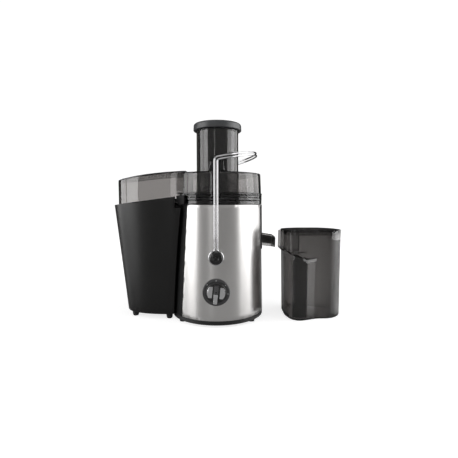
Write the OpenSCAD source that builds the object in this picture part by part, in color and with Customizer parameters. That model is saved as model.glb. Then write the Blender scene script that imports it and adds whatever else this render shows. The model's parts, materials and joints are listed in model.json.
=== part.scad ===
// Centrifugal juicer with a pulp bin on its left and a juice jug on its right.
// Millimetres, +Z up, front towards -Y. The origin is on the counter, under the middle of the
// whole set; the motor's spindle stands at x = spindle_x.

/* [Motor body] */
// Where the spindle stands, left of the middle of the whole set
spindle_x = -22; // [-30:1:-15]
// Radius of the steel shell at its foot
shell_r_foot = 89.5; // [89:0.5:90]
// Radius of the steel shell at its top
shell_r_top = 86.5; // [86:0.5:87]
// Height of the steel shell's lower edge
shell_foot_z = 12; // [11:1:13]
// Height of the steel shell's upper edge
shell_top_z = 220; // [219:1:221]
// Height of the deck that parts the motor from the juice bowl
deck_z = 124; // [122:1:125]

/* [Locking arm] */
// Height of the arm's pivot
pivot_z = 127; // [124:1:130]
// Half the distance between the arm's two legs
arm_half_span = 92; // [91.5:0.5:93]
// Radius of the arm's wire
wire_r = 1.5; // [1.2:0.1:1.7]
// Distance between the two wires of each leg
wire_pitch = 4.9; // [4.5:0.1:5.2]
// Height at which the legs turn into the loop
arm_corner_z = 300; // [299:1:303]

/* [Speed knob] */
// Height of the knob's axis
knob_z = 65; // [60:1:72]
// Radius of the dial plate
dial_r = 24.6; // [23:0.1:26]
// Radius of the knob
knob_r = 18.5; // [17:0.1:19.5]
// Half the width of the knob's grip
grip_half = 4.3; // [3.6:0.1:4.6]

/* [Lid and feed tube] */
// Height of the lid's flat top
lid_top_z = 279; // [278:1:281]
// Outer radius of the feed tube
tube_r = 41; // [40.5:0.5:41.5]
// Height of the feed tube's mouth
tube_top_z = 362; // [355:1:366]
// Radius of the pusher's cap
cap_r = 47; // [46:0.5:48]

/* [Pulp bin] */
// Half the bin's width at its rim
bin_rim_half = 68; // [67:0.5:69]
// Reach of the bin's left end from the spindle at its rim
bin_reach = 203; // [201:1:205]
// Half the bin's width at its bottom
bin_foot_half = 43.5; // [42:0.5:45]

/* [Juice jug] */
// Distance from the spindle to the jug's left wall
jug_x = 129; // [128:1:135]
// Length of the jug
jug_length = 115; // [112:1:117]
// Height of the jug's rim
jug_rim_z = 168; // [168:1:170]

/* [Hidden] */
$fn = 64;

smoke = [0.30, 0.30, 0.31, 0.55];
black = [0.07, 0.07, 0.075];
eps = 0.5;              // how far a cutter runs past the face it cuts
gap = 0.1;              // clearance between pieces of one body
wall = 2.2;             // moulded wall of the clear pieces
steel_t = 1.0;          // sheet of the steel shell
housing_t = 3;
housing_inset = steel_t + gap;
pin_r = 5;
hub_r = 11.8;
ring_r = 12.4;          // centre line of the wire ring round each hub
shaft_r = 4;
running = 0.05;         // radial clearance of a shaft in its bearing
foot_h = 4.5;
bin_floor_z = 9;
collar_h = 21;          // height of the juice bowl's ribbed collar
lid_foot_z = shell_top_z + collar_h + 0.2;
lid_r = 86;
tube_foot_z = 178;
hood_r = bin_rim_half - 7.5;
bin_gap_r = 90.6;       // of the hollow that leaves room for the body
hood_end_x = 134;       // centre of the hood's rounded end, left of the spindle
hood_right_x = -56;
// The seam between bin and hood, and the hood's top, fall towards the left
seam_z0 = 236;
seam_x0 = -67;
seam_slope = 17.5 / 136;
hood_top_z0 = 281;
hood_top_x0 = -62;
hood_top_slope = 15 / 132;
hood_bow = 2.6;         // rise of the hood's top in its middle
fullness = 2.3;         // of the bin's and hood's round ends; 2 is an ellipse
hood_centre_x = -66;     // where the hood's rounded end starts
gate_x = -64;           // right edge of the opening between bowl and hood
gate_half = 60;         // half its width
jug_half = 41;          // half the jug's width
jug_left_r = 26;        // corners at the jug's two ends
jug_right_r = 37;
spout_half = 15;
spout_end_x = 114;
arm_tilt = 12.6;        // rise of the loop towards the right
loop_r = 93.3;
loop_centre = 15.4;     // how far the loop's centre lies left of the legs
pillars = [for (sx = [-1, 1], sy = [-1, 1]) [32 * sx, 26 * sy]];
mounts = [for (sx = [-1, 1], sy = [-1, 1]) [40 * sx, 20 * sy]];
feet = [for (sx = [-1, 1], sy = [-1, 1]) [64.6 * sx, 49.2 * sy]];
bin_feet_at = [for (sy = [-1, 1]) each [[-163, 16 * sy], [-93, 33 * sy]]];

function shell_r(z) = shell_r_foot
    + (shell_r_top - shell_r_foot) * (z - shell_foot_z) / (shell_top_z - shell_foot_z);
function seam_z(x) = seam_z0 + (x - seam_x0) * seam_slope;
function hood_z(x) = hood_top_z0 + (x - hood_top_x0) * hood_top_slope
    + hood_bow * (1 - pow((x + 125) / 69, 2));
// The left half of an oval a little fuller than an ellipse, from its front to its rear
function oval_end(centre, reach, half) = [for (t = [-90:4.5:90])
    [centre - reach * pow(max(cos(t), 0), 2 / fullness), half * sign(t) * pow(abs(sin(t)), 2 / fullness)]];
// The steel shell's left edge leans outwards towards its foot
function steel_edge_x(z) = -52.5 - 12.2 * (shell_top_z - z) / 205;

module on_spindle() {
    translate([spindle_x, 0, 0]) children();
}

// A shape drawn in X and Z, extruded symmetrically along Y
module xz_prism(depth) {
    rotate([90, 0, 0]) linear_extrude(height = depth, center = true) children();
}

// A cylinder along +Y that starts at y
module y_cylinder(y, z, r, length) {
    translate([0, y, z]) rotate([-90, 0, 0]) cylinder(r = r, h = length);
}

module tube(r_out, r_in, z, h) {
    translate([0, 0, z]) difference() {
        cylinder(r = r_out, h = h);
        translate([0, 0, -eps]) cylinder(r = r_in, h = h + 2 * eps);
    }
}

// A cone that follows the shell's slope between two heights, moved in or out
module shell_cone(z0, z1, shift) {
    translate([0, 0, z0]) cylinder(r1 = shell_r(z0) + shift, r2 = shell_r(z1) + shift, h = z1 - z0,
        $fn = 256);
}

module spout_slot(half, z0) {
    translate([60, -half, z0]) cube([50, 2 * half, 120]);
}

// ---------------------------------------------------------------- casing

module steel_shell() {
    color("silver") on_spindle() difference() {
        shell_cone(shell_foot_z, shell_top_z, 0);
        shell_cone(shell_foot_z - eps, shell_top_z + eps, -steel_t);
        xz_prism(300) polygon([[-200, 0], [steel_edge_x(0), 0],
            [steel_edge_x(240), 240], [-200, 240]]);
        spout_slot(22 + gap, 134 - gap);
        y_cylinder(-150, pivot_z, 7, 300);
        y_cylinder(-100, knob_z, 10, 40);
        y_cylinder(60, 24, 8.5, 40);
    }
}

module motor_housing() {
    color(black) on_spindle() difference() {
        union() {
            difference() {
                shell_cone(shell_foot_z + gap, shell_top_z - gap, -housing_inset);
                shell_cone(shell_foot_z - eps, shell_top_z + eps, -housing_inset - housing_t);
            }
            translate([0, 0, deck_z]) cylinder(r = 82, h = 4);
            intersection() {
                for (sy = [-1, 1]) y_cylinder(sy * 81 - 7, pivot_z, 8, 14);
                shell_cone(100, 150, -housing_inset - eps);
            }
        }
        translate([0, 0, deck_z - eps]) cylinder(r = 12, h = 4 + 2 * eps);
        for (m = mounts) translate([m[0], m[1], deck_z - eps]) cylinder(r = 2.2, h = 5);
        spout_slot(22 + gap, 134 - gap);
        y_cylinder(-150, pivot_z, pin_r + gap, 300);
        for (s = [0, 1]) mirror([0, s, 0]) y_cylinder(-73.9, pivot_z, 8 + gap, 3);
        y_cylinder(-100, knob_z, 8, 40);
        y_cylinder(60, 24, 8.5, 40);
    }
}

module spout_trim() {
    color(black) on_spindle() difference() {
        intersection() {
            shell_cone(134, shell_top_z - gap, 1.6);
            translate([70, -22, 100]) cube([40, 44, 150]);
        }
        shell_cone(130, shell_top_z + eps, -housing_inset - housing_t);
        spout_slot(spout_half + 1.2, 136);
    }
}

module base_plate() {
    color(black) on_spindle() difference() {
        union() {
            translate([0, 0, foot_h]) cylinder(r = 84, h = 3);
            tube(shell_r_foot, 83, foot_h, shell_foot_z - foot_h - gap);
        }
        for (a = [0:30:330]) rotate(a + 15) translate([14, -2, foot_h - eps]) cube([26, 4, 4]);
        for (f = feet) translate([f[0], f[1], foot_h - eps]) cylinder(r = 2.3, h = 20);
    }
}

module rubber_feet() {
    color([0.05, 0.05, 0.05]) on_spindle() for (f = feet) translate([f[0], f[1], 0]) difference() {
        cylinder(r1 = 6.2, r2 = 7, h = foot_h);
        translate([0, 0, -eps]) cylinder(r = 4, h = 2.5 + eps);
        translate([0, 0, 1]) cylinder(r = 2.3, h = 4);
    }
}

module base_screws() {
    color("gray") on_spindle() for (f = feet) translate([f[0], f[1], 0]) {
        translate([0, 0, 0.8]) cylinder(r = 3.8, h = 1.7);
        translate([0, 0, 2.5]) cylinder(r = 2, h = 16);
    }
}

module pivot_pins() {
    color("gray") on_spindle() for (s = [0, 1]) mirror([0, s, 0]) {
        y_cylinder(-94, pivot_z, pin_r, 20);
        y_cylinder(-73.8, pivot_z, 8, 2.5);
    }
}

// Rubber grommet that the mains lead passes through
module cord_gland() {
    color([0.05, 0.05, 0.05]) on_spindle() translate([0, 0, 24]) rotate([-90, 0, 0]) difference() {
        rotate_extrude() polygon([[0, 78], [10, 78], [10, 80.8], [8.4, 81], [8.4, 89.8],
            [11, 89.8], [9.5, 96], [0, 96]]);
        translate([0, 0, 70]) cylinder(r = 3.7, h = 40);
    }
}

module cord_clamp() {
    color("gray") on_spindle() difference() {
        translate([-11, 60, foot_h + 3]) cube([22, 10, 8]);
        y_cylinder(55, foot_h + 7.2, 3.2, 20);
        for (sx = [-1, 1]) translate([7.5 * sx, 65, 0]) cylinder(r = 1.4, h = 30);
    }
}

// ---------------------------------------------------------------- controls

module dial_plate() {
    color([0.25, 0.25, 0.26]) on_spindle() difference() {
        y_cylinder(-91, knob_z, dial_r, 8);
        y_cylinder(-92, knob_z, 5, 20);
        shell_cone(20, 110, gap);
    }
}

module speed_knob() {
    color(black) on_spindle() difference() {
        union() {
            y_cylinder(-96, knob_z, knob_r, 4.6);
            knob_lean() intersection() {
                translate([-grip_half, -101.5, knob_z - 20]) cube([2 * grip_half, 6, 35]);
                y_cylinder(-102, knob_z, 21, 8);
            }
            y_cylinder(-92, knob_z, 3, 24);
        }
        knob_insert_solids();
    }
}

// The pointer stands a little clockwise of upright at "off"
module knob_lean() {
    translate([0, 0, knob_z]) rotate([0, 6, 0]) translate([0, 0, -knob_z]) children();
}

// The two bright half-moons beside the grip, and the strip along its lower half
module knob_insert_solids() {
    knob_lean() {
        for (s = [0, 1]) mirror([s, 0, 0]) intersection() {
            y_cylinder(-96.8, knob_z, knob_r - 2.5, 1.8);
            translate([6.6, -97, knob_z - 9.6]) cube([12, 3, 20.2]);
        }
        translate([-3.2, -102, knob_z - 18.4]) cube([6.4, 1.3, 17]);
    }
}

module knob_inserts() {
    color("white") on_spindle() knob_insert_solids();
}

module rotary_switch() {
    color([0.2, 0.2, 0.22]) on_spindle() difference() {
        union() {
            y_cylinder(-81, knob_z, 14, 19);
            y_cylinder(-86, knob_z, 7.6, 8);
            for (sx = [-1, 1]) translate([9 * sx - 1, -63, knob_z - 4]) cube([2, 9, 8]);
        }
        y_cylinder(-87, knob_z, 3 + running, 21);
    }
}

// Cuts the motor off unless the locking arm is up
module safety_switch() {
    color([0.2, 0.2, 0.22]) on_spindle() {
        translate([-14, -78, 98]) cube([28, 10, 16]);
        for (x = [-9, 0, 9]) translate([x - 1, -74, 91]) cube([2, 1, 8]);
    }
}

module control_board() {
    color("darkgreen") on_spindle() {
        translate([-62, -28, 26]) cube([1.6, 56, 70]);
        translate([-60.4, -20, 34]) cube([12, 16, 12]);
        translate([-60.4, 2, 34]) cube([4, 18, 30]);
        for (z = [56, 74]) translate([-60.4, -14, z]) rotate([0, 90, 0]) cylinder(r = 6, h = 14);
    }
}

// ---------------------------------------------------------------- motor

module motor_stator() {
    color("gray") on_spindle() difference() {
        translate([-36, -30, 48]) cube([72, 60, 44]);
        translate([0, 0, 40]) cylinder(r = 24.6, h = 60);
        for (sx = [-1, 1]) translate([sx * 28.5 - 3.2, -18.2, 40]) cube([6.4, 36.4, 60]);
    }
}

module field_coils() {
    color("orange") on_spindle() for (sx = [-1, 1]) translate([sx * 28.7 - 3, -18, 43])
        cube([6, 36, 54]);
}

module motor_bracket(z0, pillar_z, pillar_h) {
    translate([0, 0, z0]) linear_extrude(height = 3) difference() {
        union() {
            square([84, 20], center = true);
            circle(r = 16);
            for (s = [-1, 1]) rotate(s * 39) square([92, 12], center = true);
            for (m = mounts) translate(m) circle(r = 7);
        }
        circle(r = 9.5);
        for (m = mounts) translate(m) circle(r = 2.2);
    }
    for (p = pillars) translate([p[0], p[1], pillar_z]) cylinder(r = 2.6, h = pillar_h);
}

module upper_bracket() {
    color("silver") on_spindle() {
        motor_bracket(112, 92, 20);
        tube(12.5, 9.5, 115, 6);
    }
}

module lower_bracket() {
    color("silver") on_spindle() {
        motor_bracket(20, 23, 25);
        tube(12.5, 9.5, 17, 3);
    }
}

module upper_bearing() {
    color("gold") on_spindle() tube(9.5, shaft_r + running, 113, 7);
}

module lower_bearing() {
    color("gold") on_spindle() tube(9.5, shaft_r + running, 17, 6);
}

module brush_holders() {
    color([0.3, 0.2, 0.1]) on_spindle() for (s = [0, 1]) mirror([0, s, 0]) difference() {
        translate([-5, 14, 23]) cube([10, 18, 16]);
        translate([-3, 13, 31]) cube([6, 16, 6]);
    }
}

module carbon_brushes() {
    color([0.1, 0.1, 0.1]) on_spindle() for (s = [0, 1]) mirror([0, s, 0])
        translate([-2.9, 12.3, 31.1]) cube([5.8, 14, 5.8]);
}

module motor_mounts() {
    color([0.05, 0.05, 0.05]) on_spindle() for (m = mounts) translate([m[0], m[1], 0])
        tube(6, 2.2, 115, deck_z - 115);
}

module motor_screws() {
    color("gray") on_spindle() for (m = mounts) translate([m[0], m[1], 0]) {
        translate([0, 0, 110]) cylinder(r = 2, h = 18);
        translate([0, 0, 128]) cylinder(r = 4, h = 2);
    }
}

module shaft_seal() {
    color([0.05, 0.05, 0.05]) on_spindle() {
        tube(12, shaft_r + 0.4, deck_z, 4);
        tube(14, shaft_r + 0.4, deck_z + 4, 1.6);
    }
}

module armature() {
    color([0.35, 0.35, 0.37]) on_spindle() {
        tube(24, shaft_r, 50, 40);
        tube(19, shaft_r, 43, 7);
        tube(19, shaft_r, 90, 6);
    }
}

module commutator() {
    color("orange") on_spindle() difference() {
        tube(12, shaft_r, 29, 12);
        for (a = [0:15:345]) rotate(a) translate([11.2, -0.3, 28]) cube([2, 0.6, 14]);
    }
}

module motor_shaft() {
    color("silver") on_spindle() translate([0, 0, 14]) cylinder(r = shaft_r, h = 134);
}

module cooling_fan() {
    color(black) on_spindle() {
        tube(10, shaft_r, 98, 11);
        tube(34, 10, 98, 1.6);
        for (a = [0:30:330]) rotate(a) translate([9.5, -0.8, 99.6]) cube([24, 1.6, 9]);
    }
}

// ---------------------------------------------------------------- juicing parts

module drive_coupling() {
    color([0.2, 0.2, 0.2]) on_spindle() {
        tube(10, shaft_r, 132, 16);
        translate([0, 0, 148]) cylinder(r = 10, h = 2);
        for (a = [0:60:300]) rotate(a) translate([9, -1.5, 132]) cube([2.7, 3, 18]);
    }
}

module basket_frame() {
    rib_lean = atan(20.5 / 66);
    color([0.2, 0.2, 0.2]) on_spindle() {
        tube(17.5, 12, 138, 32);
        translate([0, 0, 152]) cylinder(r = 12, h = 3);
        tube(55, 17.5, 167, 3);
        tube(77, 73.4, 233, 6);
        for (a = [0:60:300]) rotate(a) translate([53.7, -1.5, 168]) rotate([0, rib_lean, 0])
            cube([1.6, 3, 69]);
    }
}

module sieve() {
    color("silver") on_spindle() translate([0, 0, 170]) difference() {
        cylinder(r1 = 53, r2 = 73, h = 66);
        translate([0, 0, -eps]) cylinder(r1 = 52.2, r2 = 72.5, h = 66 + 2 * eps);
    }
}

module grater_disc() {
    color("silver") on_spindle() {
        translate([0, 0, 170]) cylinder(r = 51.8, h = 1.2);
        translate([0, 0, 171]) cylinder(r1 = 9, r2 = 6, h = 4);
        for (ring = [0:3], i = [0:13 + 4 * ring])
            rotate(360 / (14 + 4 * ring) * (i + ring / 3)) translate([17 + 9.5 * ring, 0, 171])
                rotate([90, 0, 0]) linear_extrude(height = 1, center = true)
                    polygon([[0, 0], [2.6, 0], [0.6, 2]]);
    }
}

// Bowl with a ribbed collar and a lip over the bin on the left
module juice_collector() {
    top = shell_top_z + collar_h;
    color(smoke) on_spindle() difference() {
        union() {
            difference() {
                rotate_extrude() polygon(concat([[21.4, 160], [21.4, 143], [77.5, 143], [79.5, 214],
                    [79.5, top], [88, top], [88, 238.2], [85.8, 238], [85.8, 237], [87.3, 236.8],
                    [87.3, 233.6], [85.8, 233.4], [85.8, 232.4], [87.3, 232.2], [87.3, 228.4],
                    [85.8, 228.2], [85.8, 227.2], [87.1, 227], [87.1, 220.4]],
                    [[81.7, 220.4], [79.7, 140.6], [19, 140.6], [19, 160]]));
                pulp_gate(225.5);
            }
            intersection() {
                tube(98, 86, 222, 2.5);
                translate([-120, -50, 200]) cube([60, 100, 50]);
            }
        }
        translate([60, -spout_half + wall, 144]) cube([30, 2 * (spout_half - wall), 17]);
    }
}

module juice_spout() {
    color(smoke) on_spindle() difference() {
        xz_prism(2 * spout_half) spout_outline(0);
        xz_prism(2 * spout_half - 2 * wall) spout_outline(wall);
        translate([0, 0, 130]) cylinder(r1 = 79.6, r2 = 80.6, h = 40);
    }
}

// Side view of the spout, with a rounded upper outer corner; inset draws its passage
module spout_outline(inset) {
    end = spout_end_x + (inset > 0 ? 2 : 0);
    polygon([[78, 141.1 + inset], [end, 136.4 + inset], [end, 154 - inset],
        for (a = [0:15:75]) [end - 5 + 5 * cos(a), 154.4 - inset + 5 * sin(a)],
        [end - 5, 159.8 - inset], [78, 164.1 - inset]]);
}

// Where pulp leaves the bowl for the bin
module pulp_gate(z) {
    translate([gate_x - 46, -gate_half, z]) cube([46, 2 * gate_half, 40]);
}

module collector_seal() {
    color([0.1, 0.1, 0.1]) on_spindle() difference() {
        tube(82.2, 79.8, shell_top_z + collar_h, 1.8);
        pulp_gate(200);
    }
}

// ---------------------------------------------------------------- lid and pusher

module hood_plan(r, x_right) {
    polygon(concat(oval_end(hood_centre_x, hood_end_x + r + hood_centre_x, r),
        [[x_right, r], [x_right, -r]]));
}

module hood_block(r, x_right, bottom, top) {
    intersection() {
        translate([0, 0, 200]) linear_extrude(height = 100) hood_plan(r, x_right);
        xz_prism(200) polygon([[-210, seam_z(-210) + bottom], [x_right, seam_z(x_right) + bottom],
            [x_right, hood_z(x_right) - top],
            for (x = [-60:-15:-195]) [x, hood_z(x) - top], [-210, hood_z(-195) - top - 2]]);
    }
}

// The lid's round part, open on the left where pulp is thrown into the hood
module lid() {
    color(smoke) on_spindle() difference() {
        union() {
            translate([0, 0, lid_foot_z])
                cylinder(r1 = lid_r, r2 = lid_r - 1.5, h = lid_top_z - lid_foot_z - 3);
            rotate_extrude() {
                translate([lid_r - 4.5, lid_top_z - 3]) circle(r = 3);
                translate([0, lid_top_z - 6]) square([lid_r - 4.5, 6]);
            }
        }
        translate([0, 0, lid_foot_z - eps])
            cylinder(r = lid_r - 3.6, h = lid_top_z - lid_foot_z - wall + eps);
        translate([-100, -hood_r, lid_foot_z - eps]) cube([44, 2 * hood_r, 60]);
        translate([0, 0, 200]) cylinder(r = tube_r, h = 100);
    }
}

module lid_hood() {
    color(smoke) on_spindle() difference() {
        hood_block(hood_r, hood_right_x, 0.5, 0);
        hood_block(hood_r - wall, 0, -20, wall);
        translate([0, 0, 200]) cylinder(r = 88.4, h = lid_foot_z - 200);
        translate([0, 0, 200]) cylinder(r = 82.4, h = lid_foot_z + 2 - 200);
    }
}

// The two catches that the arm's corners snap over
module lid_catches() {
    color(smoke) on_spindle() for (s = [0, 1]) mirror([0, s, 0]) translate([0, -76.5, 0])
        xz_prism(9) polygon([[-14, lid_top_z], [15, lid_top_z], [13, 296], [11, 297.4],
            [-10, 297.4], [-12, 296]]);
}

module feed_tube() {
    color(smoke) on_spindle() tube(tube_r, tube_r - wall, tube_foot_z, tube_top_z - tube_foot_z);
}

module pusher() {
    r = tube_r - wall - 1.2;
    color(black) on_spindle() difference() {
        translate([0, 0, 184]) cylinder(r = r, h = tube_top_z - 184);
        translate([0, 0, 184 + wall]) cylinder(r = r - wall, h = 300);
    }
}

module pusher_cap() {
    color([0.25, 0.25, 0.26]) on_spindle() translate([0, 0, tube_top_z + 0.4]) rotate_extrude()
        polygon([[0, 0], [cap_r - 1.4, 0], [cap_r, 1.2], [cap_r - 0.6, 9.5],
            for (a = [15:15:90]) [cap_r - 4.6 + 4 * cos(a), 10 + 4 * sin(a)], [0, 14]]);
}

// ---------------------------------------------------------------- locking arm

// One wire of the loop: an arc in a plane that rises towards the right, cut off above its leg
module loop_wire(shift) {
    half_angle = acos((loop_centre - shift) / loop_r);
    translate([0, 0, arm_corner_z]) rotate([0, -arm_tilt, 0]) translate([-loop_centre, 0, shift])
        rotate(-half_angle) rotate_extrude(angle = 2 * half_angle)
            translate([loop_r, 0]) circle(r = wire_r);
}

module wire_ring(grow) {
    for (sy = [-1, 1]) translate([0, sy * arm_half_span, pivot_z]) rotate([90, 0, 0])
        rotate_extrude() translate([ring_r, 0]) circle(r = wire_r + grow);
}

module locking_arm() {
    half = wire_pitch / 2;
    foot_z = pivot_z + sqrt(ring_r * ring_r - half * half);
    color("white") on_spindle() {
        wire_ring(0);
        for (sx = [-1, 1], sy = [-1, 1]) {
            translate([sx * half, sy * arm_half_span, foot_z])
                cylinder(r = wire_r, h = arm_corner_z - sx * half - foot_z);
            translate([sx * half, sy * arm_half_span, arm_corner_z - sx * half])
                sphere(r = wire_r);
        }
        for (sx = [-1, 1]) loop_wire(sx * half);
    }
}

module arm_hubs() {
    color(black) on_spindle() difference() {
        for (s = [0, 1]) mirror([0, s, 0]) difference() {
            translate([0, -89, pivot_z]) rotate([90, 0, 0]) rotate_extrude()
                polygon([[0, 0], [hub_r - 0.8, 0], [hub_r, 0.8], [hub_r, 6], [hub_r - 1.6, 7.6],
                    [4, 8.4], [2.5, 7.4], [0, 7]]);
            y_cylinder(-94.3, pivot_z, pin_r + running, 10);
        }
        wire_ring(0);
    }
}

// ---------------------------------------------------------------- pulp bin

module bin_body(inset) {
    hull() {
        translate([0, 0, bin_floor_z + inset]) linear_extrude(height = 1)
            bin_plan(bin_foot_half - inset, 180 - inset);
        translate([0, 0, 242]) linear_extrude(height = 1)
            bin_plan(bin_rim_half + 1.5 - inset, bin_reach + 2 - inset);
    }
}

// The oval starts where the bin's side meets the gap beside the body
module bin_plan(half, reach) {
    centre = -sqrt(bin_gap_r * bin_gap_r - half * half);
    polygon(concat(oval_end(centre, reach + centre, half), [[-40, half], [-40, -half]]));
}

module pulp_bin() {
    color(black) on_spindle() difference() {
        bin_body(0);
        cylinder(r = bin_gap_r, h = 500);
        difference() {
            bin_body(wall);
            cylinder(r = bin_gap_r + wall, h = 500);
        }
        translate([0, 0, 214]) cylinder(r = 93.6, h = 100);
        xz_prism(300) polygon([[-230, seam_z(-230)], [0, seam_z(0)], [0, 400], [-230, 400]]);
    }
}

module bin_feet() {
    color([0.05, 0.05, 0.05]) on_spindle() for (f = bin_feet_at) translate([f[0], f[1], 0])
        cylinder(r1 = 5.8, r2 = 6.5, h = bin_floor_z);
}

// ---------------------------------------------------------------- jug

// The four corners of the jug's outline, which a hull joins; flare moves its ends apart
module jug_plan(inset, flare) {
    for (sy = [-1, 1]) {
        translate([jug_x + jug_left_r - flare, sy * (jug_half - jug_left_r)])
            circle(r = jug_left_r - inset, $fn = 48);
        translate([jug_x + jug_length - jug_right_r + flare, sy * (jug_half - jug_right_r)])
            circle(r = jug_right_r - inset, $fn = 48);
    }
}

module jug_block(inset, z0, z1) {
    hull() {
        translate([0, 0, z0]) linear_extrude(height = 0.5) jug_plan(inset, 0);
        translate([0, 0, z1 - 0.5]) linear_extrude(height = 0.5) jug_plan(inset, 2);
    }
}

// Bulge on the lower front and back, which gives the fingers an edge to hold
module jug_grip(inset) {
    for (sy = [-1, 1]) hull() {
        translate([jug_x + 20, sy * 32, inset]) cylinder(r = 16 - inset, h = 122 - inset);
        translate([jug_x + 27, sy * 43, inset]) cylinder(r = 11.5 - inset, h = 116 - inset);
        translate([jug_x + 58, sy * 26, inset]) cylinder(r = 14 - inset, h = 112 - inset);
    }
}

module jug() {
    color(smoke) on_spindle() difference() {
        union() {
            jug_block(0, 0, jug_rim_z);
            jug_grip(0);
            translate([jug_x - 6, -20.5, 130]) cube([10, 41, jug_rim_z - 130]);
        }
        jug_block(wall, wall, jug_rim_z + 1);
        jug_grip(wall);
        translate([jug_x - 10, -18.3, 132.4]) cube([20, 36.6, 60]);
    }
    // Panel behind the front grip that guides the froth separator
    color(smoke) on_spindle() translate([jug_x + 18, -38, wall / 2]) cube([24.5, 3.7, 116]);
}

module jug_lid() {
    color(smoke) on_spindle() difference() {
        union() {
            hull() {
                translate([0, 0, jug_rim_z + 0.2]) linear_extrude(height = 2) jug_plan(-0.6, 2);
                translate([0, 0, jug_rim_z + 6]) linear_extrude(height = 1.4) jug_plan(13, 0);
            }
            translate([0, 0, jug_rim_z - 7]) linear_extrude(height = 8)
                difference() {
                    hull() jug_plan(wall + 0.4, 1.6);
                    hull() jug_plan(2 * wall + 0.2, 1.6);
                }
        }
        hull() {
            translate([0, 0, jug_rim_z - 8]) linear_extrude(height = 8.2) jug_plan(2 * wall + 0.2, 1.6);
            translate([0, 0, jug_rim_z + 5.4]) linear_extrude(height = 0.4) jug_plan(15, 0);
        }
        translate([jug_x - 12, -18, jug_rim_z - 10]) cube([22, 36, 10.1]);
    }
}

module froth_separator() {
    color(smoke) on_spindle() difference() {
        translate([jug_x + 26, -34, 40]) cube([1.8, 68, jug_rim_z - 40]);
        translate([jug_x + 20, -12, 39]) cube([12, 24, 14]);
    }
}

steel_shell();
motor_housing();
spout_trim();
base_plate();
rubber_feet();
base_screws();
dial_plate();
rotary_switch();
safety_switch();
control_board();
pivot_pins();
cord_gland();
cord_clamp();
motor_stator();
field_coils();
upper_bracket();
lower_bracket();
upper_bearing();
lower_bearing();
brush_holders();
carbon_brushes();
motor_mounts();
motor_screws();
shaft_seal();
juice_collector();
juice_spout();
collector_seal();
lid();
lid_hood();
lid_catches();
feed_tube();
armature();
commutator();
motor_shaft();
cooling_fan();
drive_coupling();
basket_frame();
sieve();
grater_disc();
speed_knob();
knob_inserts();
locking_arm();
arm_hubs();
pusher();
pusher_cap();
pulp_bin();
bin_feet();
jug();
jug_lid();
froth_separator();
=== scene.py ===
"""Looks of the centrifugal juicer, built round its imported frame."""

import json
import math

import bmesh
import bpy
from mathutils import Matrix, Vector


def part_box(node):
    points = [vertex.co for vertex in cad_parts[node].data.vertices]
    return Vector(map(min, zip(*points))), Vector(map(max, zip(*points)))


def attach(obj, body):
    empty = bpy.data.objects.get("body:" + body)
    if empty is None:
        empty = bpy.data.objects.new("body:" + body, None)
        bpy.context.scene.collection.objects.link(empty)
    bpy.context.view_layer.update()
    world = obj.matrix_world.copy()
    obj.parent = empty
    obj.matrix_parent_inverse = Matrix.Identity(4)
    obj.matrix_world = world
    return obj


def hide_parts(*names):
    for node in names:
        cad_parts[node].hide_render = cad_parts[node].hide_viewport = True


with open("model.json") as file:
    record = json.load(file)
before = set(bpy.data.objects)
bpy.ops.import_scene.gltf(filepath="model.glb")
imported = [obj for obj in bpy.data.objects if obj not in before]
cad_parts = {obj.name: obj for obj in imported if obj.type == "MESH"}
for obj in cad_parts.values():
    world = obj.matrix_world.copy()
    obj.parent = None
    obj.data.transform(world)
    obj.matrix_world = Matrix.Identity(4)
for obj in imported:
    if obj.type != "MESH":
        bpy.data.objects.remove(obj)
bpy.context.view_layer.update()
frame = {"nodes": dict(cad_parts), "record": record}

MM = 0.001


# -------------------------------------------------------- places, in millimetres from the spindle's foot

def centre_of(node):
    low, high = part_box(node)
    return (low + high) / 2


spindle = Vector((centre_of("motor_shaft").x, centre_of("motor_shaft").y, 0))


def span(node):
    """Lowest and highest corner of a CAD node, in millimetres from the spindle's foot on the counter."""
    low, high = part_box(node)
    return (low - spindle) / MM, (high - spindle) / MM


def place(point):
    return spindle + Vector(point) * MM


# ------------------------------------------------------------------ outlines

def arc(cx, cy, r, start, end, steps):
    """Points on an arc, with the angles in degrees."""
    turn = [math.radians(start + (end - start) * i / steps) for i in range(steps + 1)]
    return [(cx + r * math.cos(a), cy + r * math.sin(a)) for a in turn]


def rounded(corners, steps=5):
    """A closed outline from corners (x, y, radius), each rounded by its radius."""
    out = []
    for i, (x, y, r) in enumerate(corners):
        p = Vector((x, y))
        before = (Vector(corners[i - 1][:2]) - p).normalized()
        after = (Vector(corners[(i + 1) % len(corners)][:2]) - p).normalized()
        half = before.angle(after) / 2
        if r <= 0 or abs(half - math.pi / 2) < 1e-3:
            out.append((x, y))
            continue
        back = r / math.tan(half)
        centre = p + (before + after).normalized() * (r / math.sin(half))
        first = p + before * back - centre
        last = p + after * back - centre
        turn = first.angle_signed(last)
        for k in range(steps + 1):
            v = Matrix.Rotation(-turn * k / steps, 2) @ first
            out.append((centre.x + v.x, centre.y + v.y))
    return out


# ------------------------------------------------------------------ meshes

def new_object(name, points, faces, sharp=35):
    """A mesh object from points in millimetres from the spindle's foot."""
    mesh = bpy.data.meshes.new(name)
    mesh.from_pydata([place(p) for p in points], [], faces)
    work = bmesh.new()
    work.from_mesh(mesh)
    bmesh.ops.remove_doubles(work, verts=work.verts, dist=0.004 * MM)
    bmesh.ops.recalc_face_normals(work, faces=work.faces)
    work.to_mesh(mesh)
    work.free()
    mesh.shade_smooth()
    mesh.set_sharp_from_angle(angle=math.radians(sharp))
    obj = bpy.data.objects.new(name, mesh)
    bpy.context.scene.collection.objects.link(obj)
    return obj


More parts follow.
